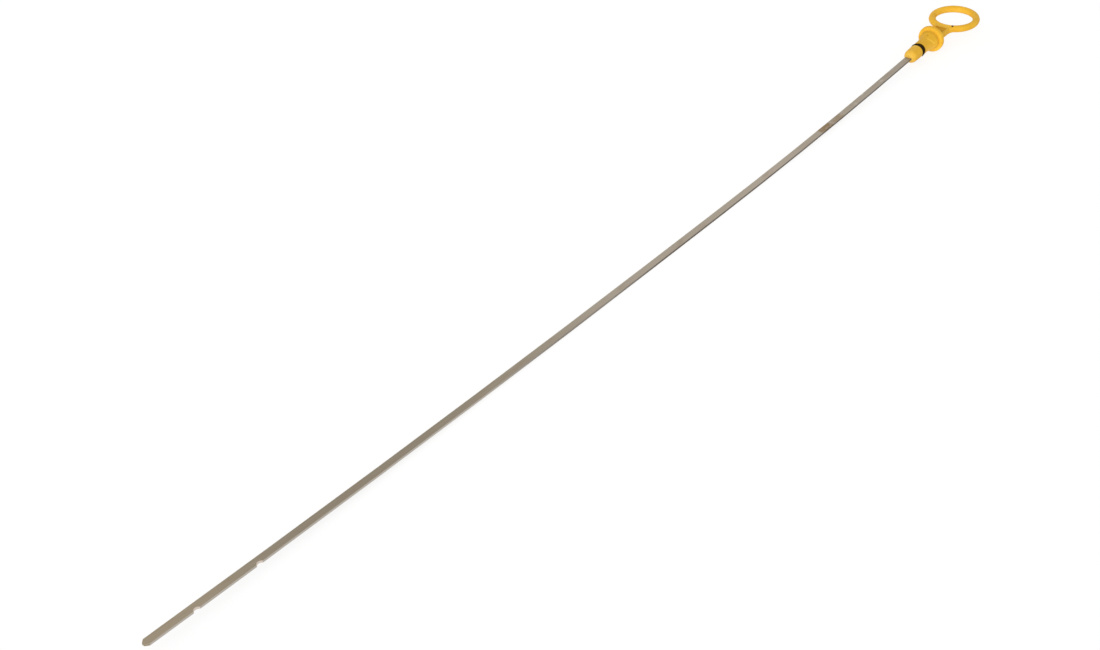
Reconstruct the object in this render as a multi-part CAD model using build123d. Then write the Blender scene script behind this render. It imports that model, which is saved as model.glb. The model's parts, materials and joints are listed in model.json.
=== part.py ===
from build123d import *
import math
import os

# Engine oil dipstick, lying as it comes to rest: on the belly of its blade, with the flange's rim down.
# All sizes are in millimetres. Places along the handle are measured on its axis from the middle plane
# of the flange, positive towards the finger ring.

# Finger ring
RING_OUTER_D = 36.5
RING_WIRE_D = 5.0
RING_CENTRE_X = 35.7

# Neck between the flange and the ring: two side ribs with a thinner panel between them
NECK_THICKNESS = 4.4
NECK_ROOT_WIDTH = 10.8
NECK_RING_WIDTH = 13.0
NECK_FLARE_R = 9.0
NECK_ROOT_R = 0.6
NECK_EDGE_R = 1.1
RIB_WIDTH = 1.6
PANEL_THICKNESS = 1.6
RECESS_CORNER_R = 1.2
RECESS_FLOOR_R = 0.8
RING_MARGIN = 1.8

# Flange with a well rounded rim
FLANGE_D = 19.3
FLANGE_THICKNESS = 4.4
RIM_R = 1.7

# Plug: flare below the flange, stem, seal groove, land and bullet nose
FLARE_D = 14.4
FLARE_START_X = -15.0
STEM_D = 10.0
GROOVE_CENTRE_X = -20.35
GROOVE_WIDTH = 4.0
LAND_D = 10.0
LAND_LENGTH = 2.7
NOSE_NECK_D = 9.7
NOSE_DOME_X = -29.9
NOSE_END_X = -34.5
NOSE_FLAT_D = 3.0

# Seal ring on the floor of its groove, where it sits a little askew: the side that leans most towards
# the nose is this far round from the handle's side
SEAL_CENTRE_X = -20.45
SEAL_SKEW = 8.0
SEAL_SKEW_SIDE = 45.0
SEAL_OUTER_D = 10.6
SEAL_WIRE_D = 2.65

# Steel blade, with a narrower tang whose shoulders lock it in the plug
BLADE_WIDTH = 4.7
BLADE_THICKNESS = 1.3
BLADE_EDGE_BEVEL = 0.1
BLADE_REACH = 709.3
TANG_WIDTH = 3.2
TANG_SHOULDER_X = -27.0
TANG_END_X = -11.0
TIP_CHAMFER_LENGTH = 1.9
TIP_CHAMFER_WIDTH = 1.6

# Level notches, nibbled in the blade's edge by a round punch: distance from the tip to each one
NOTCHES_FROM_TIP = {"low": 29.6, "full": 68.9}
NOTCH_R = 2.1
NOTCH_DEPTH = 1.2

# Rest pose: the handle leans up by this angle, and the blade curves down to the floor, lies flat on
# it for this length of its belly, and then bows gently up again towards its tip
HANDLE_TILT = 3.25
BELLY_LENGTH = 72.0
TIP_BOW_R = 11300.0

# Smallest distance that counts as apart when edges are picked
TOUCH = 0.01
# Longest edge that counts as one across the strip's thickness
SHORT_EDGE = 1.05 * BLADE_THICKNESS

FLANGE_HALF = FLANGE_THICKNESS / 2
RING_R = (RING_OUTER_D - RING_WIRE_D) / 2
SEAL_R = (SEAL_OUTER_D - SEAL_WIRE_D) / 2
TILT = math.radians(HANDLE_TILT)

# Height of the flange's centre when its leaning rim touches the floor
FLANGE_Z = (FLANGE_D / 2 - RIM_R) * math.cos(TILT) + (FLANGE_HALF - RIM_R) * math.sin(TILT) + RIM_R
# Blade's centre line: leaves the nose along the handle's axis and turns level where it meets the floor
NOSE_END_Z = FLANGE_Z + NOSE_END_X * math.sin(TILT)
BELLY_Z = BLADE_THICKNESS / 2
BELLY_BOW_R = (NOSE_END_Z - BELLY_Z) / (1 - math.cos(TILT))
BELLY_X = NOSE_END_X * math.cos(TILT) - BELLY_BOW_R * math.sin(TILT)
BELLY_END_X = BELLY_X - BELLY_LENGTH
# Angle of the tip's arc, from what is left of the blade's reach past the belly
TIP_BOW_ANGLE = (BLADE_REACH - BELLY_BOW_R * TILT - BELLY_LENGTH) / TIP_BOW_R

HANDLE_PLACE = Location((0, 0, FLANGE_Z)) * Rotation(0, -HANDLE_TILT, 0)


def plug_and_flange():
    """Turned form of the plug and the flange, about the handle's axis."""
    flange_r = FLANGE_D / 2
    dome_r = NOSE_NECK_D / 2
    land_r = LAND_D / 2
    stem_r = STEM_D / 2
    flare_r = FLARE_D / 2
    # The skewed ring touches the floor of its groove on its two sides
    groove_r = SEAL_R * math.cos(math.radians(SEAL_SKEW)) - SEAL_WIRE_D / 2
    groove_low = GROOVE_CENTRE_X - GROOVE_WIDTH / 2
    groove_high = GROOVE_CENTRE_X + GROOVE_WIDTH / 2
    land_end = groove_low - LAND_LENGTH
    rim_x = FLANGE_HALF - RIM_R
    face_r = flange_r - RIM_R

    outline = Line((FLANGE_HALF, 0), (NOSE_END_X, 0))
    outline += Line((NOSE_END_X, 0), (NOSE_END_X, NOSE_FLAT_D / 2))
    outline += TangentArc((NOSE_DOME_X, dome_r), (NOSE_END_X, NOSE_FLAT_D / 2), tangent=(-1, 0))
    outline += Line((NOSE_DOME_X, dome_r), (land_end, land_r))
    outline += Polyline(
        (land_end, land_r),
        (groove_low, land_r),
        (groove_low, groove_r),
        (groove_high, groove_r),
        (groove_high, stem_r),
        (FLARE_START_X, stem_r),
    )
    outline += TangentArc((FLARE_START_X, stem_r), (-FLANGE_HALF, flare_r), tangent=(1, 0))
    outline += Line((-FLANGE_HALF, flare_r), (-FLANGE_HALF, face_r))
    outline += TangentArc((-FLANGE_HALF, face_r), (-rim_x, flange_r), tangent=(0, 1))
    outline += Line((-rim_x, flange_r), (rim_x, flange_r))
    outline += TangentArc((rim_x, flange_r), (FLANGE_HALF, face_r), tangent=(1, 0))
    outline += Line((FLANGE_HALF, face_r), (FLANGE_HALF, 0))
    return revolve(make_face(outline), Axis.X)


def neck_sides(start_x, inset):
    """Tapered plan from the flange to the ring's middle, this far in from the neck's sides."""
    root = NECK_ROOT_WIDTH / 2 - inset
    end = NECK_RING_WIDTH / 2 - inset
    corners = ((start_x, -root), (RING_CENTRE_X, -end), (RING_CENTRE_X, end), (start_x, root))
    return make_face(Polyline(*corners, close=True))


def neck_plan():
    """Plan of the neck, flaring out where it runs into the ring."""
    # At the height of the neck's faces the round wire is narrower than its full width
    wire_r = RING_WIRE_D / 2
    wire_reach = math.sqrt(wire_r**2 - (NECK_THICKNESS / 2) ** 2)
    plan = neck_sides(0, 0) + Pos(RING_CENTRE_X, 0) * Circle(RING_R + wire_reach)
    corners = plan.vertices().filter_by(lambda v: FLANGE_HALF < v.X < RING_CENTRE_X)
    plan = fillet(corners, NECK_FLARE_R)
    return plan - Pos(RING_CENTRE_X, 0) * Circle(RING_R)


def recess_plan():
    """Plan of the recess between the two ribs, ending short of the ring."""
    ring_margin = Pos(RING_CENTRE_X, 0) * Circle(RING_OUTER_D / 2 + RING_MARGIN)
    plan = neck_sides(FLANGE_HALF, RIB_WIDTH) - ring_margin
    far_corners = plan.vertices().filter_by(lambda v: v.X > FLANGE_THICKNESS)
    return fillet(far_corners, RECESS_CORNER_R)


def on_flange_back(edge):
    """True for an edge that lies in the flange's back face."""
    return all(abs(v.X - FLANGE_HALF) < TOUCH for v in edge.vertices())


def recess():
    """Space above the panel, between the ribs, with a floor that rounds up into its walls."""
    depth = (NECK_THICKNESS - PANEL_THICKNESS) / 2
    space = Pos(0, 0, PANEL_THICKNESS / 2) * extrude(recess_plan(), depth)
    floor_edges = space.edges().group_by(Axis.Z)[0].filter_by(lambda e: not on_flange_back(e))
    return fillet(floor_edges, RECESS_FLOOR_R)


def neck():
    """Neck with its two side ribs, and the thinner panel between them on both faces."""
    body = extrude(neck_plan(), NECK_THICKNESS / 2, both=True)
    face_edges = body.edges().filter_by(lambda e: abs(e.center().Z) > PANEL_THICKNESS / 2)
    side_edges = face_edges.filter_by(lambda e: abs(e.center().Y) > RIB_WIDTH / 2)
    upper = recess()
    return fillet(side_edges, NECK_EDGE_R) - upper - mirror(upper, about=Plane.XY)


def handle_moulding(tang):
    """Ring, neck, flange and plug as one moulding, in its rest place, moulded around the tang."""
    ring = Pos(RING_CENTRE_X, 0, 0) * Torus(RING_R, RING_WIRE_D / 2)
    moulding = plug_and_flange() + neck()
    root = moulding.edges().filter_by(lambda e: on_flange_back(e) and e.length < NECK_ROOT_WIDTH)
    moulding = fillet(root, NECK_ROOT_R) + ring
    return HANDLE_PLACE * moulding - tang


def seal_ring():
    """Rubber ring that lies askew on the floor of the plug's groove."""
    ring = Rotation(0, 90, 0) * Torus(SEAL_R, SEAL_WIRE_D / 2)
    askew = Rotation(SEAL_SKEW_SIDE, 0, 0) * Rotation(0, 0, SEAL_SKEW)
    return HANDLE_PLACE * Pos(SEAL_CENTRE_X, 0, 0) * askew * ring


def strip_line(rise):
    """One long edge of the strip's side view, this far above its centre line, from tang to tip."""
    direction = Vector(math.cos(TILT), math.sin(TILT))
    across = Vector(-math.sin(TILT), math.cos(TILT)) * rise
    nose_end = Vector(0, FLANGE_Z) + direction * NOSE_END_X + across
    tang_end = Vector(0, FLANGE_Z) + direction * TANG_END_X + across
    belly_centre = (BELLY_X, BELLY_Z + BELLY_BOW_R)
    belly_start = (BELLY_X, BELLY_Z + rise)
    belly_end = (BELLY_END_X, BELLY_Z + rise)
    tip_centre = (BELLY_END_X, BELLY_Z + TIP_BOW_R)
    line = Line(tang_end, nose_end)
    line += CenterArc(belly_centre, BELLY_BOW_R - rise, -90 + HANDLE_TILT, -HANDLE_TILT)
    line += Line(belly_start, belly_end)
    line += CenterArc(tip_centre, TIP_BOW_R - rise, -90, -math.degrees(TIP_BOW_ANGLE))
    return line


def strip_blade():
    """Bowed steel strip with a blunt tip and bevelled edges, before its notches are punched."""
    upper = strip_line(BLADE_THICKNESS / 2)
    lower = strip_line(-BLADE_THICKNESS / 2)
    ends = [Line(upper @ t, lower @ t) for t in (0, 1)]
    side_view = make_face(Plane.XZ * (upper + lower + ends))
    strip = extrude(side_view, BLADE_WIDTH / 2, both=True)
    corners = strip.edges().filter_by(lambda e: e.length < SHORT_EDGE)
    tip_corners = corners.sort_by(Axis.X)[:2]
    tip_face = strip.faces().sort_by(Axis.X)[0]
    strip = chamfer(tip_corners, TIP_CHAMFER_WIDTH, TIP_CHAMFER_LENGTH, reference=tip_face)
    rims = strip.edges().filter_by(lambda e: e.length > SHORT_EDGE)
    return chamfer(rims, BLADE_EDGE_BEVEL)


def notch(from_tip, tip_x):
    """Round punch that takes a level notch out of the strip's near edge."""
    punch_y = NOTCH_DEPTH - NOTCH_R - BLADE_WIDTH / 2
    return Pos(tip_x + from_tip, punch_y, 0) * extrude(Circle(NOTCH_R), FLANGE_D, both=True)


def tang_sides():
    """Strips to cut from both sides of the blade inside the plug, which leave the narrower tang."""
    length = TANG_END_X - TANG_SHOULDER_X
    width = (BLADE_WIDTH - TANG_WIDTH) / 2
    middle_y = (BLADE_WIDTH + TANG_WIDTH) / 4
    side = Pos(TANG_SHOULDER_X + length / 2, middle_y, 0) * Box(length, width, BLADE_WIDTH)
    return HANDLE_PLACE * (side + mirror(side, about=Plane.XZ))


def finished_blade():
    """The strip with its two level notches and its tang."""
    strip = strip_blade()
    tip_x = strip.bounding_box().min.X
    for from_tip in NOTCHES_FROM_TIP.values():
        strip -= notch(from_tip, tip_x)
    return strip - tang_sides()


def main():
    blade = finished_blade()
    pieces = {
        "handle": handle_moulding(blade),
        "o_ring": seal_ring(),
        "blade": blade,
    }
    box = Compound(list(pieces.values())).bounding_box()
    to_frame = Pos(-box.center().X, -box.center().Y, -box.min.Z)
    os.makedirs("parts", exist_ok=True)
    for name, piece in pieces.items():
        placed = to_frame * piece
        placed.label = name
        export_step(placed, f"parts/{name}.step")
        print(name, round(placed.volume, 1), placed.is_valid, len(placed.solids()), placed.bounding_box())


main()
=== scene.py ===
import json
import math

import bmesh
import bpy
from mathutils import Matrix, Vector


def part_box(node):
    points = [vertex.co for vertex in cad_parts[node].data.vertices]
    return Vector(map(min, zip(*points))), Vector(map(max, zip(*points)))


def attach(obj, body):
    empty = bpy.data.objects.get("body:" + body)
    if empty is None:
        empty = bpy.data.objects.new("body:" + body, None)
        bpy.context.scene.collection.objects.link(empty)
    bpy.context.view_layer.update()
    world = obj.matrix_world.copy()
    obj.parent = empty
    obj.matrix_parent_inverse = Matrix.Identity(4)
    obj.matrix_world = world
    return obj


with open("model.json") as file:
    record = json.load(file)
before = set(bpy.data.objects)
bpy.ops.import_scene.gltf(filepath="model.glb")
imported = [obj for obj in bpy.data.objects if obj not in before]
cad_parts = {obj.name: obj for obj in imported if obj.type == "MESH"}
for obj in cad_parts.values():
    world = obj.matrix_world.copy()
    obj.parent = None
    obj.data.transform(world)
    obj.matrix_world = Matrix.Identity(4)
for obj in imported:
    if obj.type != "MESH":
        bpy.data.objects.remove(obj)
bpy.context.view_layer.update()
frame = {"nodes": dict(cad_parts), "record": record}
MM = 0.001

# Engine oil dipstick. Places along the handle are measured on its axis from the middle plane of
# the flange, towards the finger ring; places along the blade are measured from its tip. A pair of
# values says where a tone starts to show and where it shows in full; three say start, end and fade.

# Handle's own axes, from the two faces that meet the guide tube
MOUNTS = {mount["name"]: mount for mount in frame["record"]["mounts"]}
PLUG_PLACE = Vector(MOUNTS["plug"]["pos_m"])
SEAT_PLACE = Vector(MOUNTS["seat"]["pos_m"])
HANDLE_AXIS = -Vector(MOUNTS["plug"]["axis"])
HANDLE_LEAN = math.atan2(HANDLE_AXIS.z, HANDLE_AXIS.x)
FLANGE_HALF = 2.2 * MM
SEAT_ALONG = (SEAT_PLACE - PLUG_PLACE).dot(HANDLE_AXIS)
FLANGE_CENTRE = PLUG_PLACE + HANDLE_AXIS * (SEAT_ALONG + FLANGE_HALF)
HANDLE_PLACE = Matrix.Translation(FLANGE_CENTRE) @ Matrix.Rotation(-HANDLE_LEAN, 4, "Y")

# Handle moulding
RING_CENTRE = 35.7 * MM
RING_R = 15.75 * MM
RING_WIRE_R = 2.5 * MM
NECK_END = 16.0 * MM
CREASE_R = 6.9 * MM
CREASE_PLACE = -3.0 * MM
NOSE_END = -34.5 * MM
GROOVE_PLACE = -20.35 * MM
GROOVE_HALF = 2.0 * MM

# Seal ring, askew in its groove
SEAL_PLACE = -20.45 * MM
SEAL_SKEW = math.radians(8.0)
SEAL_SKEW_SIDE = math.radians(45.0)
SEAL_R = 3.975 * MM
SEAL_WIRE_R = 1.325 * MM

# Blade
BLADE_LOW, BLADE_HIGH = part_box("blade")
TIP = BLADE_LOW.x
BLADE_HALF = BLADE_HIGH.y
BLADE_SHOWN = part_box("handle")[0].x - TIP
# Its underside is flat on the belly and curves up to the tip, by a radius in metres
TIP_BOW_R = 11.3
BELLY_END = TIP + 388.2 * MM
# Level notches, low and full
NOTCHES = (29.6 * MM, 68.9 * MM)
NOTCH_R = 2.1 * MM
NOTCH_DEPTH = 1.2 * MM
NOTCH_MIDDLE = NOTCH_DEPTH - NOTCH_R - BLADE_HALF


class Wire:
    """One shader socket, so that sums on values are written as plain expressions."""

    def __init__(self, finish, socket):
        self.finish = finish
        self.socket = socket

    def sum(self, operation, first, second):
        return self.finish.node("ShaderNodeMath", {"operation": operation}, {0: first, 1: second})

    def __add__(self, other):
        return self.sum("ADD", self, other)

    def __radd__(self, other):
        return self.sum("ADD", other, self)

    def __sub__(self, other):
        return self.sum("SUBTRACT", self, other)

    def __rsub__(self, other):
        return self.sum("SUBTRACT", other, self)

    def __mul__(self, other):
        return self.sum("MULTIPLY", self, other)

    def __rmul__(self, other):
        return self.sum("MULTIPLY", other, self)

    def __truediv__(self, other):
        return self.sum("DIVIDE", self, other)

    def __rtruediv__(self, other):
        return self.sum("DIVIDE", other, self)

    def __pow__(self, other):
        return self.sum("POWER", self, other)

    def __abs__(self):
        return self.sum("ABSOLUTE", self, 0.0)

    def or_more(self, other):
        return self.sum("MAXIMUM", self, other)


class Finish:
    """A node tree for one finish, and the few kinds of node that the finishes are made of."""

    NOISE_MIDDLE = 0.5
    # Sockets of a Mix node that mixes colours
    MIX_SHARE, MIX_FIRST, MIX_SECOND, MIX_RESULT = 0, 6, 7, 2

    def __init__(self, tree):
        self.tree = tree
        tree.nodes.clear()

    def node(self, kind, settings=None, sockets=None, output=0):
        """Adds a node: its settings first, then the values or wires of its sockets."""
        made = self.tree.nodes.new(kind)
        for name, value in (settings or {}).items():
            if name == "stops":
                self.set_stops(made.color_ramp, value)
            else:
                setattr(made, name, value)
        for name, value in (sockets or {}).items():
            if isinstance(value, Wire):
                self.tree.links.new(value.socket, made.inputs[name])
            else:
                made.inputs[name].default_value = value
        return Wire(self, made.outputs[output]) if made.outputs else None

    def set_stops(self, ramp, stops):
        while len(ramp.elements) < len(stops):
            ramp.elements.new(1.0)
        for element, (place, colour) in zip(ramp.elements, stops):
            element.position = place
            element.color = (*colour, 1.0)

    def place(self):
        return self.node("ShaderNodeTexCoord", output="Object")

    def mapped(self, vector, location=(0, 0, 0), rotation=(0, 0, 0), scale=(1, 1, 1)):
        sockets = {"Vector": vector, "Location": location, "Rotation": rotation, "Scale": scale}
        return self.node("ShaderNodeMapping", None, sockets)

    def axes(self, vector):
        made = self.node("ShaderNodeSeparateXYZ", None, {0: vector}).socket.node
        return [Wire(self, socket) for socket in made.outputs]

    def distance(self, first, second):
        settings = {"operation": "DISTANCE"}
        return self.node("ShaderNodeVectorMath", settings, {0: first, 1: second}, "Value")

    def noise(self, vector, scale, detail, roughness=0.55):
        sockets = {"Vector": vector, "Scale": scale, "Detail": detail, "Roughness": roughness}
        return self.node("ShaderNodeTexNoise", None, sockets)

    def streaks(self, vector, cells, **layers):
        """Noise with its own number of cells per metre along each axis."""
        return self.noise(self.mapped(vector, scale=cells), 1.0, **layers)

    def ragged(self, noise, reach):
        """Pushes an edge to and fro by a noise, half of the reach each way."""
        return (noise - self.NOISE_MIDDLE) * reach

    def rise(self, value, low, high):
        """0 below low and 1 above high, with a smooth step between; high may be the lower one."""
        settings = {"interpolation_type": "SMOOTHSTEP"}
        sockets = {"Value": value, "From Min": low, "From Max": high}
        return self.node("ShaderNodeMapRange", settings, sockets)

    def between(self, value, low, high, soft):
        """1 from low to high, fading over soft at both ends."""
        return self.rise(value, low - soft, low) * self.rise(value, high + soft, high)

    def mixed(self, share, first, second):
        """A colour between two colours."""
        first, second = (c if isinstance(c, Wire) else (*c, 1.0) for c in (first, second))
        sockets = {self.MIX_SHARE: share, self.MIX_FIRST: first, self.MIX_SECOND: second}
        return self.node("ShaderNodeMix", {"data_type": "RGBA"}, sockets, self.MIX_RESULT)

    def bumped(self, height, depth, strength=1.0):
        sockets = {"Strength": strength, "Distance": depth, "Height": height}
        return self.node("ShaderNodeBump", None, sockets)

    def surface(self, **sockets):
        named = {name.replace("_", " "): value for name, value in sockets.items()}
        self.end(self.node("ShaderNodeBsdfPrincipled", None, named))

    def end(self, shader, kind="ShaderNodeOutputMaterial"):
        self.node(kind, None, {"Surface": shader})


def new_finish(name):
    material = bpy.data.materials.new(name)
    material.use_nodes = True
    return material, Finish(material.node_tree)


# Tones of the finishes, as linear colours
YELLOW = (0.90, 0.515, 0.036)
YELLOW_DEEP = (0.82, 0.44, 0.024)
# Painted shade on the neck, the flare's upper side, the ring's near side and the nose's side
YELLOW_PAINTED_SHADE = (0.75, 0.415, 0.024)
# Pale streaks of the melt, the pale line on the flare, and painted light
YELLOW_PALE = (0.95, 0.58, 0.060)
TUBE_DUST = (0.78, 0.54, 0.12)
# Dark brown of specks, dirt and the gate scar, and of painted shade in creases and recesses
GRIME_AND_PAINTED_SHADE = (0.30, 0.15, 0.02)
# Dirt and painted shade in the seal's groove
GROOVE_DIRT_AND_SHADE = (0.040, 0.024, 0.007)
GATE_SCORCH = (0.012, 0.008, 0.004)

RUBBER = (0.014, 0.009, 0.003)
RUBBER_DUST = (0.055, 0.030, 0.008)

STEEL_TIP = (0.338, 0.281, 0.198)
STEEL_LOW = (0.266, 0.224, 0.164)
STEEL_MIDDLE = (0.326, 0.280, 0.214)
STEEL_UPPER = (0.394, 0.343, 0.274)
STEEL_PALE = (0.428, 0.372, 0.302)
STEEL_ROOT = (0.352, 0.305, 0.242)
OIL_STAIN = (0.275, 0.202, 0.130)
OIL_BROWN = (0.290, 0.205, 0.112)
STEEL_RUBBED = (0.50, 0.455, 0.395)
STEEL_PIT = (0.16, 0.125, 0.085)
CUT_BRIGHT = (0.66, 0.57, 0.50)
# Painted light on the near edge, towards the tip
EDGE_PAINTED_LIGHT = (0.49, 0.445, 0.395)
# Painted shade on the near edge towards the handle; also darkens the far edge and the torn lower
# half
EDGE_DARK = (0.105, 0.080, 0.062)


# Patterns in the handle's plastic: cells per metre, layers of finer detail and how rough these are
MOTTLE = {"scale": 160.0, "detail": 4.0}
MELT_STREAKS = {"cells": (90, 420, 420), "detail": 3.0}
SPECKS = {"scale": 2600.0, "detail": 2.0}
RAGGED_EDGE = {"scale": 900.0, "detail": 3.0}
SHADE_PATCHES = {"scale": 700.0, "detail": 3.0}
SKIN_GRAIN = {"scale": 5200.0, "detail": 2.0, "roughness": 0.6}
SKIN_DENTS = {"scale": 420.0, "detail": 2.0}


class MouldingSpot:
    """A point of the handle's skin: its place on the handle, and the slow mottling there."""

    def __init__(self, f):
        turn = Matrix.Rotation(HANDLE_LEAN, 3, "Y")
        self.place = f.mapped(f.place(), -(turn @ FLANGE_CENTRE), (0, HANDLE_LEAN, 0))
        self.along, self.across, self.up = f.axes(self.place)
        self.off_axis = (self.across * self.across + self.up * self.up) ** 0.5
        self.mottle = f.noise(self.place, **MOTTLE)
        self.on_nose = f.rise(self.along, GROOVE_PLACE, GROOVE_PLACE - GROOVE_HALF)


MOTTLE_SHOWS = (0.36, 0.66)
MELT_SHOWS = (0.5, 0.78)
MELT_SHARE = 0.5
SPECKS_SHOW = (0.62, 0.8)
SPECK_SHARE = 0.18


def mottled_nylon(f, spot):
    """Yellow of the plastic itself: slow mottling, pale streaks of the melt and dark specks."""
    melt = f.streaks(spot.place, **MELT_STREAKS)
    specks = f.noise(spot.place, **SPECKS)
    tone = f.mixed(f.rise(spot.mottle, *MOTTLE_SHOWS), YELLOW_DEEP, YELLOW)
    tone = f.mixed(f.rise(melt, *MELT_SHOWS) * MELT_SHARE, tone, YELLOW_PALE)
    return f.mixed(f.rise(specks, *SPECKS_SHOW) * SPECK_SHARE, tone, GRIME_AND_PAINTED_SHADE)


# Deeper nose, and painted shade on the neck and on the flare's upper side
NOSE_SHARE = 0.4
NECK_FADE = 1.0 * MM
NECK_SHARE = 0.75
FLARE_FADE = 0.5 * MM
FLARE_TOP = (-4.5 * MM, -0.5 * MM)
FLARE_TOP_TURN = 0.8
FLARE_LEAST = 0.65
FLARE_MOTTLE = 0.5


def deepened_and_shaded(f, spot, tone):
    """Deeper yellow on the nose, and painted shade on the neck behind the flange and on the upper
    side of the flare.
    """
    flare_end = -FLANGE_HALF - FLARE_FADE
    on_flare = f.between(spot.along, GROOVE_PLACE + GROOVE_HALF, flare_end, FLARE_FADE)
    on_neck = f.between(spot.along, FLANGE_HALF, NECK_END, NECK_FADE)
    tone = f.mixed(spot.on_nose * NOSE_SHARE, tone, YELLOW_DEEP)
    tone = f.mixed(on_neck * NECK_SHARE, tone, YELLOW_PAINTED_SHADE)
    flare_top_shade = on_flare * f.rise(spot.up + spot.across * FLARE_TOP_TURN, *FLARE_TOP)
    return f.mixed(flare_top_shade * (FLARE_LEAST + spot.mottle * FLARE_MOTTLE), tone, YELLOW_PAINTED_SHADE)


# Pale line: the plane that it lies in, its ends along the handle, and the side that it is on
PALE_LINE_TURN = Vector((1.0, -0.36, 1.14)).normalized()
PALE_LINE_PLACE = -2.135 * MM
PALE_LINE_ALONG = (-10.2 * MM, -6.2 * MM, 1.2 * MM)
PALE_LINE_SIDE = -1.6 * MM
PALE_LINE_SIDE_FADE = 0.8 * MM
PALE_LINE_EDGE = (0.75 * MM, 0.15 * MM)
PALE_LINE_SHARE = 0.75
# Fleck of dirt
FLECK_PLACE = Vector((-6.92, -0.25, 5.85)) * MM
FLECK_EDGE = (1.0 * MM, 0.35 * MM)
FLECK_RAGGED = 1.6
FLECK_SHARE = 0.5
# Both have ragged edges
RAGGED_REACH = 0.9 * MM


def pale_line_and_fleck(f, spot, tone):
    """Pale line slantwise over the flare, and a fleck of dirt above it."""
    ragged = f.ragged(f.noise(spot.place, **RAGGED_EDGE), RAGGED_REACH)
    slant = spot.along * PALE_LINE_TURN.x + spot.across * PALE_LINE_TURN.y + spot.up * PALE_LINE_TURN.z
    line = f.rise(abs(slant - PALE_LINE_PLACE) + ragged, *PALE_LINE_EDGE)
    line = line * f.rise(spot.across, PALE_LINE_SIDE + PALE_LINE_SIDE_FADE, PALE_LINE_SIDE - PALE_LINE_SIDE_FADE)
    line = line * f.between(spot.along, *PALE_LINE_ALONG)
    tone = f.mixed(line * PALE_LINE_SHARE, tone, YELLOW_PALE)
    fleck = f.rise(f.distance(spot.place, FLECK_PLACE) + ragged * FLECK_RAGGED, *FLECK_EDGE)
    return f.mixed(fleck * FLECK_SHARE, tone, GRIME_AND_PAINTED_SHADE)


# Painted light on the far ring and the underside, painted shade on the near ring and the nose's
# side, then dust on the nose
FAR_RING = (RING_CENTRE + 2.0 * MM, RING_CENTRE + 10.0 * MM)
FAR_RING_LEVEL = (2.2 * MM, 0.4 * MM)
FAR_RING_SHARE = 0.5
UNDERSIDE = (-1.5 * MM, -5.0 * MM)
UNDERSIDE_ALONG = (-12.0 * MM, FLANGE_HALF, 1.0 * MM)
UNDERSIDE_SHARE = 0.85
NEAR_RING = (-5.0 * MM, -11.0 * MM)
NEAR_RING_ALONG = (NECK_END, NECK_END + 3.0 * MM)
NEAR_RING_SHARE = 0.55
NOSE_SIDE = (-1.0 * MM, -3.2 * MM)
NOSE_SIDE_ALONG = (NOSE_END + 2.0 * MM, NOSE_END + 4.0 * MM)
NOSE_SIDE_SHARE = 0.65
NOSE_TIP = (NOSE_END + 2.0 * MM, NOSE_END + 0.5 * MM)
NOSE_DUST = 0.2
NOSE_TIP_DUST = 0.2


def lit_shaded_and_dusty(f, spot, tone):
    """Painted light on the far ring and the underside, painted shade on the near ring and the
    nose's side, and a dusty nose.
    """
    far_ring = f.rise(spot.along, *FAR_RING) * f.rise(spot.up, *FAR_RING_LEVEL)
    underside = f.rise(spot.up, *UNDERSIDE) * f.between(spot.along, *UNDERSIDE_ALONG)
    paler = (far_ring * FAR_RING_SHARE).or_more(underside * UNDERSIDE_SHARE)
    tone = f.mixed(paler, tone, YELLOW_PALE)
    near_ring = f.rise(spot.across, *NEAR_RING) * f.rise(spot.along, *NEAR_RING_ALONG)
    nose_side = f.rise(spot.across, *NOSE_SIDE) * spot.on_nose
    nose_side = nose_side * f.rise(spot.along, *NOSE_SIDE_ALONG)
    deeper = (near_ring * NEAR_RING_SHARE).or_more(nose_side * NOSE_SIDE_SHARE)
    tone = f.mixed(deeper, tone, YELLOW_PAINTED_SHADE)
    dust = spot.on_nose * (NOSE_DUST + f.rise(spot.along, *NOSE_TIP) * NOSE_TIP_DUST)
    return f.mixed(dust * (1.0 - nose_side), tone, TUBE_DUST)


# Painted shade in the flange's crease, at the root of the neck, on its panels and where the blade
# leaves the nose
CREASE_REACH = (1.8 * MM, 0.2 * MM)
CREASE_SHARE = 0.24
NECK_ROOT_ALONG = (FLANGE_HALF, 3.0 * MM, 1.6 * MM)
NECK_ROOT_R = (7.2 * MM, 5.6 * MM)
NECK_ROOT_SHARE = 0.30
PANEL_ALONG = (FLANGE_HALF, NECK_END, 0.4 * MM)
PANEL_LEVEL = (2.1 * MM, 0.9 * MM)
PANEL_SIDE = (5.0 * MM, 3.6 * MM)
PANEL_SHARE = 0.28
BLADE_EXIT = (NOSE_END + 0.8 * MM, NOSE_END)
BLADE_EXIT_R = (3.4 * MM, 2.0 * MM)
BLADE_EXIT_SHARE = 0.15
SHADE_LEAST = 0.6
SHADE_UNEVEN = 0.8


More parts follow.
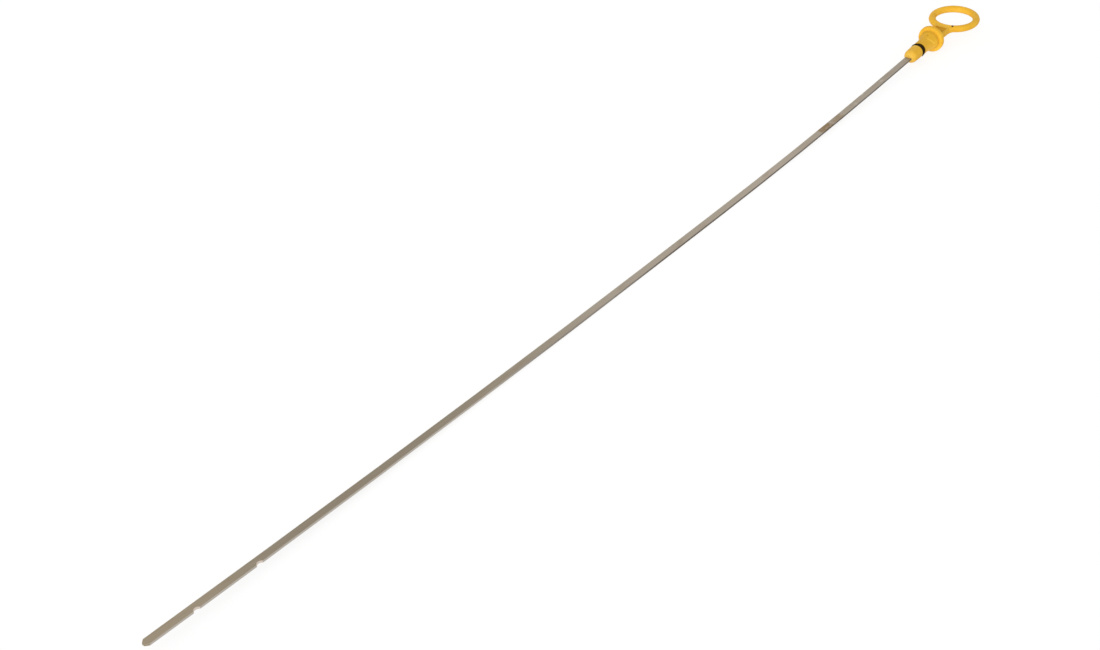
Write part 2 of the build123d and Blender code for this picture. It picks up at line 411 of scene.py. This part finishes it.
def painted_crease_shade(f, spot):
    """Where shade is painted: flange crease, root of the neck, its panels, and around the blade."""
    past_crease = spot.along - CREASE_PLACE
    over_crease = spot.off_axis - CREASE_R
    off_crease = (past_crease * past_crease + over_crease * over_crease) ** 0.5
    painted_shade = f.rise(off_crease, *CREASE_REACH) * CREASE_SHARE
    neck_root = f.between(spot.along, *NECK_ROOT_ALONG) * f.rise(spot.off_axis, *NECK_ROOT_R)
    painted_shade = painted_shade.or_more(neck_root * NECK_ROOT_SHARE)
    panel = f.between(spot.along, *PANEL_ALONG) * f.rise(abs(spot.up), *PANEL_LEVEL)
    painted_shade = painted_shade.or_more(panel * f.rise(abs(spot.across), *PANEL_SIDE) * PANEL_SHARE)
    blade_exit = f.rise(spot.along, *BLADE_EXIT) * f.rise(spot.off_axis, *BLADE_EXIT_R)
    painted_shade = painted_shade.or_more(blade_exit * BLADE_EXIT_SHARE)
    return painted_shade * (SHADE_LEAST + f.noise(spot.place, **SHADE_PATCHES) * SHADE_UNEVEN)


# Dirt and painted shade in the seal's groove and on a band over the nose's top beside it
GROOVE_LIP = 0.12 * MM
GROOVE_DEPTH = (4.7 * MM, 4.2 * MM)
GROOVE_TURN = 0.15
DARK_BAND_ALONG = (GROOVE_PLACE - GROOVE_HALF - 0.35 * MM, GROOVE_PLACE, 0.15 * MM)
DARK_BAND_TOP = (2.0 * MM, 4.0 * MM)
DARK_BAND_TURN = 0.6
GROOVE_DARK_LEAST = 0.80
GROOVE_DARK_MOTTLE = 0.2


def shaded_dirty_groove(f, spot):
    """Dirt and painted shade in the seal's groove, and in a band over the top of the nose beside
    it.
    """
    in_groove = f.rise(abs(spot.along - GROOVE_PLACE), GROOVE_HALF + GROOVE_LIP, GROOVE_HALF)
    in_groove = in_groove * f.rise(spot.off_axis + spot.across * GROOVE_TURN, *GROOVE_DEPTH)
    dark_band = f.between(spot.along, *DARK_BAND_ALONG)
    dark_band = dark_band * f.rise(spot.up + spot.across * DARK_BAND_TURN, *DARK_BAND_TOP)
    return in_groove.or_more(dark_band) * (GROOVE_DARK_LEAST + spot.mottle * GROOVE_DARK_MOTTLE)


RING_RUBBED = (20.0 * MM, 30.0 * MM)
RING_RUB_SHOWS = (0.4, 0.6)
NYLON_ROUGHNESS = 0.52
NYLON_GRAIN_ROUGHER = 0.10
NYLON_RUB_SMOOTHER = 0.10
NYLON_SHADE_ROUGHER = 0.2
NYLON_SHINE = 0.22
NYLON_GRAIN_HEIGHT = 0.35
NYLON_RELIEF = 0.05 * MM
NYLON_RELIEF_STRENGTH = 0.6


def moulded_yellow():
    """Satin moulded nylon: fine grain, mottling, painted shade in creases and recesses, painted
    light and shade on its sides, and a ring rubbed by fingers.
    """
    material, f = new_finish("moulded_yellow")
    spot = MouldingSpot(f)
    tone = deepened_and_shaded(f, spot, mottled_nylon(f, spot))
    tone = lit_shaded_and_dusty(f, spot, pale_line_and_fleck(f, spot, tone))
    painted_shade = painted_crease_shade(f, spot)
    # Painted shade darkens creases and recesses
    tone = f.mixed(painted_shade, tone, GRIME_AND_PAINTED_SHADE)
    tone = f.mixed(shaded_dirty_groove(f, spot), tone, GROOVE_DIRT_AND_SHADE)

    rubbed = f.rise(spot.along, *RING_RUBBED) * f.rise(spot.mottle, *RING_RUB_SHOWS)
    grain = f.noise(spot.place, **SKIN_GRAIN)
    roughness = NYLON_ROUGHNESS + grain * NYLON_GRAIN_ROUGHER
    roughness = roughness - rubbed * NYLON_RUB_SMOOTHER + painted_shade * NYLON_SHADE_ROUGHER
    relief = grain * NYLON_GRAIN_HEIGHT + f.noise(spot.place, **SKIN_DENTS)
    f.surface(Base_Color=tone, Roughness=roughness, Specular_IOR_Level=NYLON_SHINE,
              Normal=f.bumped(relief, NYLON_RELIEF, NYLON_RELIEF_STRENGTH))
    return material


TORN_PLASTIC = {"scale": 2400.0, "detail": 4.0}
TORN_SHOWS = (0.5, 0.8)
TORN_ROUGHNESS = 0.7
TORN_ROUGHER = 0.2
TORN_SHINE = 0.2
TORN_RELIEF = 0.15 * MM


def scorched_gate():
    """Torn plastic of the gate scar, dark with burnt dirt."""
    material, f = new_finish("scorched_gate")
    torn = f.noise(f.place(), **TORN_PLASTIC)
    tone = f.mixed(f.rise(torn, *TORN_SHOWS), GATE_SCORCH, GRIME_AND_PAINTED_SHADE)
    f.surface(Base_Color=tone, Roughness=TORN_ROUGHNESS + torn * TORN_ROUGHER,
              Specular_IOR_Level=TORN_SHINE, Normal=f.bumped(torn, TORN_RELIEF))
    return material


DUST_PATCHES = {"scale": 420.0, "detail": 4.0}
DUST_SHOWS = (0.46, 0.72)
DUST_SHARE = 0.7
RUBBER_SKIN = {"scale": 3800.0, "detail": 3.0}
RUBBER_ROUGHNESS = 0.58
RUBBER_DUST_ROUGHER = 0.25
RUBBER_SKIN_ROUGHER = 0.08
RUBBER_SHINE = 0.05
RUBBER_RELIEF = 0.03 * MM
RUBBER_RELIEF_STRENGTH = 0.5


def seal_rubber():
    """Black moulded rubber, dusted brown where the dirt of the tube's mouth sticks."""
    material, f = new_finish("seal_rubber")
    place = f.place()
    dust = f.rise(f.noise(place, **DUST_PATCHES), *DUST_SHOWS)
    skin = f.noise(place, **RUBBER_SKIN)
    tone = f.mixed(dust * DUST_SHARE, RUBBER, RUBBER_DUST)
    roughness = RUBBER_ROUGHNESS + dust * RUBBER_DUST_ROUGHER + skin * RUBBER_SKIN_ROUGHER
    f.surface(Base_Color=tone, Roughness=roughness, Specular_IOR_Level=RUBBER_SHINE,
              Normal=f.bumped(skin, RUBBER_RELIEF, RUBBER_RELIEF_STRENGTH))
    return material


# Patterns in the strip: cells per metre along, across and through it, then as in the plastic
STRIP_DRIFT = {"cells": (9, 60, 60), "detail": 2.0}
STRIP_GRAIN = {"cells": (26, 2600, 2600), "detail": 4.0, "roughness": 0.65}
STRIP_SCRATCHES = {"cells": (70, 7000, 7000), "detail": 2.0}
STRIP_BLOTCHES = {"cells": (70, 260, 260), "detail": 4.0}
STRIP_MOTTLE = {"cells": (240, 520, 520), "detail": 3.0}
STRIP_RUBBING = {"cells": (95, 240, 240), "detail": 3.0}
STRIP_PITS = {"scale": 1500.0, "detail": 2.0}
PITS_SHOW = (0.70, 0.76)


class StripSpot:
    """A point of the blade: its place, how far it is from the tip, and the patterns there."""

    def __init__(self, f):
        self.place = f.place()
        self.x, self.y, self.z = f.axes(self.place)
        self.from_tip = self.x - TIP
        self.grain = f.streaks(self.place, **STRIP_GRAIN)
        self.scratches = f.streaks(self.place, **STRIP_SCRATCHES)
        self.blotches = f.streaks(self.place, **STRIP_BLOTCHES)
        self.pits = f.rise(f.noise(self.place, **STRIP_PITS), *PITS_SHOW)


# Tones along the part of the strip that shows, from the tip at 0 to the handle at 1
STRIP_TONES = [(0.03, STEEL_TIP), (0.15, STEEL_LOW), (0.27, STEEL_LOW), (0.40, STEEL_MIDDLE),
               (0.49, STEEL_UPPER), (0.67, STEEL_UPPER), (0.75, STEEL_PALE), (0.82, STEEL_UPPER),
               (0.97, STEEL_ROOT)]
DRIFT_REACH = 0.10
GRAIN_SHOWS = (0.35, 0.75)
GRAIN_SHARE = 0.35
BLOTCHES_SHOW = (0.50, 0.80)
BLOTCH_SHARE = 0.45
SCRATCHES_SHOW = (0.60, 0.75)
SCRATCH_SHARE = 0.25


def rolled_strip(f, spot):
    """Tone of the strip itself: drifting along its length, with grain, blotches and scratches."""
    drift = f.ragged(f.streaks(spot.place, **STRIP_DRIFT), DRIFT_REACH)
    share = spot.from_tip / BLADE_SHOWN
    tone = f.node("ShaderNodeValToRGB", {"stops": STRIP_TONES}, {0: share + drift})
    tone = f.mixed(f.rise(spot.grain, *GRAIN_SHOWS) * GRAIN_SHARE, tone, STEEL_PALE)
    tone = f.mixed(f.rise(spot.blotches, *BLOTCHES_SHOW) * BLOTCH_SHARE, tone, OIL_STAIN)
    return f.mixed(f.rise(spot.scratches, *SCRATCHES_SHOW) * SCRATCH_SHARE, tone, STEEL_PIT)


STAIN_REACH = 10 * MM
STAIN_ALONG = (589 * MM, 599 * MM, 2.5 * MM)
STAIN_TAIL = (604 * MM, 613 * MM, 3.5 * MM)
STAIN_TAIL_SHARE = 0.6
STAIN_SHOWS = (0.28, 0.52)
STRIP_RUBBED = (622 * MM, 682 * MM, 12 * MM)
STRIP_RUB_SHOWS = (0.52, 0.66)
STRIP_RUB_SHARE = 0.75
PIT_SHARE = 0.7


def stained(f, spot, tone):
    """Rubbed patches, the brown oil stain and the pits. Gives the stain too, which is rougher."""
    along = spot.from_tip + f.ragged(spot.blotches, STAIN_REACH)
    rubbed = f.rise(f.streaks(spot.place, **STRIP_RUBBING), *STRIP_RUB_SHOWS)
    rubbed = rubbed * f.between(along, *STRIP_RUBBED)
    tone = f.mixed(rubbed * STRIP_RUB_SHARE, tone, STEEL_RUBBED)
    stain = f.between(along, *STAIN_ALONG)
    stain = stain.or_more(f.between(along, *STAIN_TAIL) * STAIN_TAIL_SHARE)
    mottle = f.streaks(spot.place, **STRIP_MOTTLE)
    tone = f.mixed(stain * f.rise(mottle, *STAIN_SHOWS), tone, OIL_BROWN)
    return f.mixed(spot.pits * PIT_SHARE, tone, STEEL_PIT), stain


NEAR_EDGE = (BLADE_HALF - 0.12 * MM, BLADE_HALF - 0.03 * MM)
NEAR_EDGE_LEAST = 0.85
NEAR_EDGE_GRAIN = 0.15
FAR_EDGE = (BLADE_HALF - 0.09 * MM, BLADE_HALF - 0.02 * MM)
FAR_EDGE_SHARE = 0.5
# Painted light on the near edge gives way to painted shade towards the handle, in two steps
FIRST_STEP = (210 * MM, 310 * MM)
FIRST_STEP_SHARE = 0.66
SECOND_STEP = (340 * MM, 410 * MM)
SECOND_STEP_SHARE = 0.34
# Torn lower half of the slit edge
TORN_EDGE = (0.62 * MM, 0.40 * MM)
TORN_EDGE_REACH = 0.5 * MM
TORN_EDGE_SHARE = 0.12


def lit_and_shaded_edges(f, spot, tone):
    """Painted light on the near edge towards the tip and painted shade towards the handle, a darker
    far edge and a torn lower half. Gives the near one's place too, which is smoother.
    """
    near_edge = f.rise(-1.0 * spot.y, *NEAR_EDGE)
    far_edge = f.rise(spot.y, *FAR_EDGE)
    dark = f.rise(spot.from_tip, *FIRST_STEP) * FIRST_STEP_SHARE
    dark = dark + f.rise(spot.from_tip, *SECOND_STEP) * SECOND_STEP_SHARE
    past_belly = (BELLY_END - spot.x).or_more(0.0)
    height = spot.z - past_belly * past_belly / (2 * TIP_BOW_R)
    torn = f.rise(height + f.ragged(spot.grain, TORN_EDGE_REACH), *TORN_EDGE)
    edge = f.mixed(dark.or_more(torn * TORN_EDGE_SHARE), EDGE_PAINTED_LIGHT, EDGE_DARK)
    tone = f.mixed(near_edge * (NEAR_EDGE_LEAST + spot.grain * NEAR_EDGE_GRAIN), tone, edge)
    return f.mixed(far_edge * FAR_EDGE_SHARE, tone, EDGE_DARK), near_edge


NOTCH_CUT = (NOTCH_R + 0.16 * MM, NOTCH_R + 0.04 * MM)


def notch_cuts(f, spot):
    """Where the punch left the notches' walls bright."""
    cut = 0.0
    for from_tip in NOTCHES:
        over = spot.x - (TIP + from_tip)
        out = spot.y - NOTCH_MIDDLE
        cut = f.rise((over * over + out * out) ** 0.5, *NOTCH_CUT) + cut
    return cut


STEEL_ROUGHNESS = 0.40
STEEL_GRAIN_ROUGHER = 0.14
STEEL_STAIN_ROUGHER = 0.12
STEEL_EDGE_SMOOTHER = 0.08
STEEL_GRAIN_HEIGHT = 0.6
STEEL_SCRATCH_HEIGHT = 0.4
STEEL_RELIEF = 0.02 * MM
STEEL_RELIEF_STRENGTH = 0.5


def rolled_steel():
    """Dull cold-rolled strip: lengthwise grain, slow staining, pits, and edges with painted light
    and shade.
    """
    material, f = new_finish("rolled_strip_steel")
    spot = StripSpot(f)
    tone, stain = stained(f, spot, rolled_strip(f, spot))
    tone, near_edge = lit_and_shaded_edges(f, spot, tone)
    tone = f.mixed(notch_cuts(f, spot), tone, CUT_BRIGHT)

    roughness = STEEL_ROUGHNESS + spot.grain * STEEL_GRAIN_ROUGHER
    roughness = roughness + stain * STEEL_STAIN_ROUGHER - near_edge * STEEL_EDGE_SMOOTHER
    relief = spot.grain * STEEL_GRAIN_HEIGHT + spot.scratches * STEEL_SCRATCH_HEIGHT - spot.pits
    f.surface(Base_Color=tone, Roughness=roughness, Metallic=1.0,
              Normal=f.bumped(relief, STEEL_RELIEF, STEEL_RELIEF_STRENGTH))
    return material


def piece_from(mesh, name, finish):
    """Closes a bmesh into a piece that rides with the dipstick."""
    bmesh.ops.recalc_face_normals(mesh, faces=mesh.faces[:])
    data = bpy.data.meshes.new(name)
    mesh.to_mesh(data)
    mesh.free()
    data.materials.append(finish)
    piece = bpy.data.objects.new(name, data)
    bpy.context.scene.collection.objects.link(piece)
    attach(piece, "root")


# Parting line of the mould, in the plane of the ring
FLASH_HALF_WIDTH = 0.11 * MM
FLASH_RAISE = 0.08 * MM
WELD = 0.001 * MM


def parting_flash(finish):
    """Thin raised line where the mould's halves met, all round the moulding in the ring's plane."""
    mesh = bmesh.new()
    mesh.from_mesh(frame["nodes"]["handle"].data)
    bmesh.ops.remove_doubles(mesh, verts=mesh.verts[:], dist=WELD)
    to_handle = HANDLE_PLACE.inverted()
    up = HANDLE_PLACE.to_3x3() @ Vector((0, 0, 1))
    for side in (1, -1):
        bmesh.ops.bisect_plane(mesh, geom=mesh.verts[:] + mesh.edges[:] + mesh.faces[:], dist=WELD,
                               plane_co=FLANGE_CENTRE + up * side * FLASH_HALF_WIDTH,
                               plane_no=up * side, clear_outer=True)

    def hidden(face):
        middle = to_handle @ face.calc_center_median()
        in_groove = abs(middle.x - GROOVE_PLACE) < GROOVE_HALF + WELD
        by_tang = abs(middle.y) < BLADE_HALF + WELD and middle.x < 0
        return in_groove or by_tang

    bmesh.ops.delete(mesh, geom=[face for face in mesh.faces if hidden(face)], context="FACES")
    mesh.normal_update()
    for vert in mesh.verts:
        vert.co += vert.normal * FLASH_RAISE
    bmesh.ops.solidify(mesh, geom=mesh.faces[:], thickness=2 * FLASH_RAISE)
    piece_from(mesh, "parting_flash", finish)


# Mould flash around the seal ring
SEAL_FLASH_R = 0.07 * MM
SEAL_FLASH_SIDES = 8
SEAL_FLASH_STEPS = 96


def seal_flash(finish):
    """Fine raised line around the outside of the seal ring."""
    mesh = bmesh.new()
    bmesh.ops.create_circle(mesh, cap_ends=False, segments=SEAL_FLASH_SIDES, radius=SEAL_FLASH_R,
                            matrix=Matrix.Translation((0, SEAL_R + SEAL_WIRE_R, 0)))
    bmesh.ops.spin(mesh, geom=mesh.verts[:] + mesh.edges[:], cent=(0, 0, 0), axis=(1, 0, 0),
                   angle=math.tau, steps=SEAL_FLASH_STEPS, use_merge=True)
    bmesh.ops.remove_doubles(mesh, verts=mesh.verts[:], dist=WELD)
    askew = Matrix.Rotation(SEAL_SKEW_SIDE, 4, "X") @ Matrix.Rotation(SEAL_SKEW, 4, "Z")
    on_seal = Matrix.Translation((SEAL_PLACE, 0, 0)) @ askew
    bmesh.ops.transform(mesh, matrix=HANDLE_PLACE @ on_seal, verts=mesh.verts[:])
    piece_from(mesh, "seal_flash", finish)


# Gate scar on top of the ring, beside the neck
GATE_ROUND_RING = math.radians(-158.0)
GATE_ROUND_WIRE = math.radians(72.0)
GATE_R = 0.75 * MM
GATE_TOP_R = GATE_R * 0.8
GATE_HEIGHT = 0.3 * MM
GATE_SINK = 0.25 * MM
GATE_SIDES = 28
GATE_RIM = GATE_R * 0.25
GATE_DISH_SLOPE = GATE_R * 0.15
GATE_DISH_DEPTH = GATE_HEIGHT * 0.4


def gate_scar(finish):
    """Stub of the sheared gate: a low cone with a torn, dished top."""
    around = Matrix.Translation((RING_CENTRE, 0, 0)) @ Matrix.Rotation(GATE_ROUND_RING, 4, "Z")
    lean = Matrix.Rotation(math.pi / 2 - GATE_ROUND_WIRE, 4, "Y")
    on_wire = Matrix.Translation((RING_R, 0, 0)) @ lean
    out = Matrix.Translation((0, 0, RING_WIRE_R + GATE_HEIGHT / 2 - GATE_SINK / 2))
    mesh = bmesh.new()
    bmesh.ops.create_cone(mesh, cap_ends=True, segments=GATE_SIDES, radius1=GATE_R,
                          radius2=GATE_TOP_R, depth=GATE_HEIGHT + GATE_SINK)
    top = max(mesh.faces, key=lambda face: face.calc_center_median().z)
    bmesh.ops.inset_region(mesh, faces=[top], thickness=GATE_RIM, depth=0)
    bmesh.ops.inset_region(mesh, faces=[top], thickness=GATE_DISH_SLOPE, depth=-GATE_DISH_DEPTH)
    bmesh.ops.transform(mesh, matrix=HANDLE_PLACE @ around @ on_wire @ out, verts=mesh.verts[:])
    piece_from(mesh, "gate_scar", finish)


# Camera at the photograph's place
CAMERA_PLACE = Vector((-0.704078, -0.486412, 0.541743))
CAMERA_YAW = math.radians(39.0533)
CAMERA_PITCH = math.radians(34.4221)
CAMERA_ROLL = math.radians(-2.3816)
CAMERA_LENS = 55.637
CAMERA_SENSOR = 36.0
CAMERA_NEAR = 0.01
CAMERA_FAR = 50.0


def set_camera():
    lens = bpy.data.cameras.new("photo_camera")
    lens.sensor_fit = "HORIZONTAL"
    lens.sensor_width = CAMERA_SENSOR
    lens.lens = CAMERA_LENS
    lens.clip_start = CAMERA_NEAR
    lens.clip_end = CAMERA_FAR
    camera = bpy.data.objects.new("photo_camera", lens)
    bpy.context.scene.collection.objects.link(camera)
    yaw = Matrix.Rotation(CAMERA_YAW - math.pi / 2, 4, "Z")
    pitch = Matrix.Rotation(math.pi / 2 - CAMERA_PITCH, 4, "X")
    roll = Matrix.Rotation(CAMERA_ROLL, 4, "Z")
    camera.matrix_world = Matrix.Translation(CAMERA_PLACE) @ yaw @ pitch @ roll
    bpy.context.scene.camera = camera


# Studio: the sky's light, one soft key, and a floor that shows pale and bounces light
SKY = 0.66
KEY_STRENGTH = 1.65
KEY_FROM = Vector((-0.93, -0.22, 0.30))
KEY_SOFTNESS = math.radians(50)
FLOOR_SIDE = 8.0
FLOOR_GLOW = 0.83
FLOOR_SHADE = 0.22
FLOOR_BOUNCE = 0.90
FLOOR_LIFT = 0.15


def grey(level):
    return (level, level, level, 1)


def seen_as_background(f):
    """1 for the rays that show the background itself: to the camera, mirrored or through glass."""
    light = f.node("ShaderNodeLightPath").socket.node
    kinds = ("Camera", "Glossy", "Transmission")
    camera, mirrored, through = (Wire(f, light.outputs[f"Is {kind} Ray"]) for kind in kinds)
    return camera.or_more(mirrored).or_more(through)


def glowing(f, level, glow):
    """Matt grey that also gives off a little light of its own."""
    matt = f.node("ShaderNodeBsdfDiffuse", None, {"Color": grey(level)})
    light = f.node("ShaderNodeEmission", None, {"Strength": glow})
    return f.node("ShaderNodeAddShader", None, {0: matt, 1: light})


def set_floor():
    mesh = bmesh.new()
    bmesh.ops.create_grid(mesh, x_segments=1, y_segments=1, size=FLOOR_SIDE / 2)
    data = bpy.data.meshes.new("floor")
    mesh.to_mesh(data)
    mesh.free()
    floor = bpy.data.objects.new("floor", data)
    bpy.context.scene.collection.objects.link(floor)
    material, f = new_finish("pale_floor")
    data.materials.append(material)
    bounce = glowing(f, FLOOR_BOUNCE, FLOOR_LIFT)
    shown = glowing(f, FLOOR_SHADE, FLOOR_GLOW)
    f.end(f.node("ShaderNodeMixShader", None, {0: seen_as_background(f), 1: bounce, 2: shown}))


def set_light():
    world = bpy.data.worlds.new("studio")
    world.use_nodes = True
    bpy.context.scene.world = world
    f = Finish(world.node_tree)
    level = SKY + seen_as_background(f) * (1 - SKY)
    sky = f.node("ShaderNodeBackground", None, {"Color": grey(1), "Strength": level})
    f.end(sky, "ShaderNodeOutputWorld")
    key = bpy.data.lights.new("key", "SUN")
    key.energy = KEY_STRENGTH
    key.angle = KEY_SOFTNESS
    lamp = bpy.data.objects.new("key", key)
    lamp.rotation_euler = KEY_FROM.to_track_quat("Z", "Y").to_euler()
    bpy.context.scene.collection.objects.link(lamp)


def main():
    bpy.context.scene.view_settings.view_transform = "Standard"
    set_camera()
    set_floor()
    set_light()

    yellow = moulded_yellow()
    rubber = seal_rubber()
    for node, finish in (("handle", yellow), ("o_ring", rubber), ("blade", rolled_steel())):
        for slot in frame["nodes"][node].material_slots:
            slot.material = finish

    parting_flash(yellow)
    seal_flash(rubber)
    gate_scar(scorched_gate())


main()
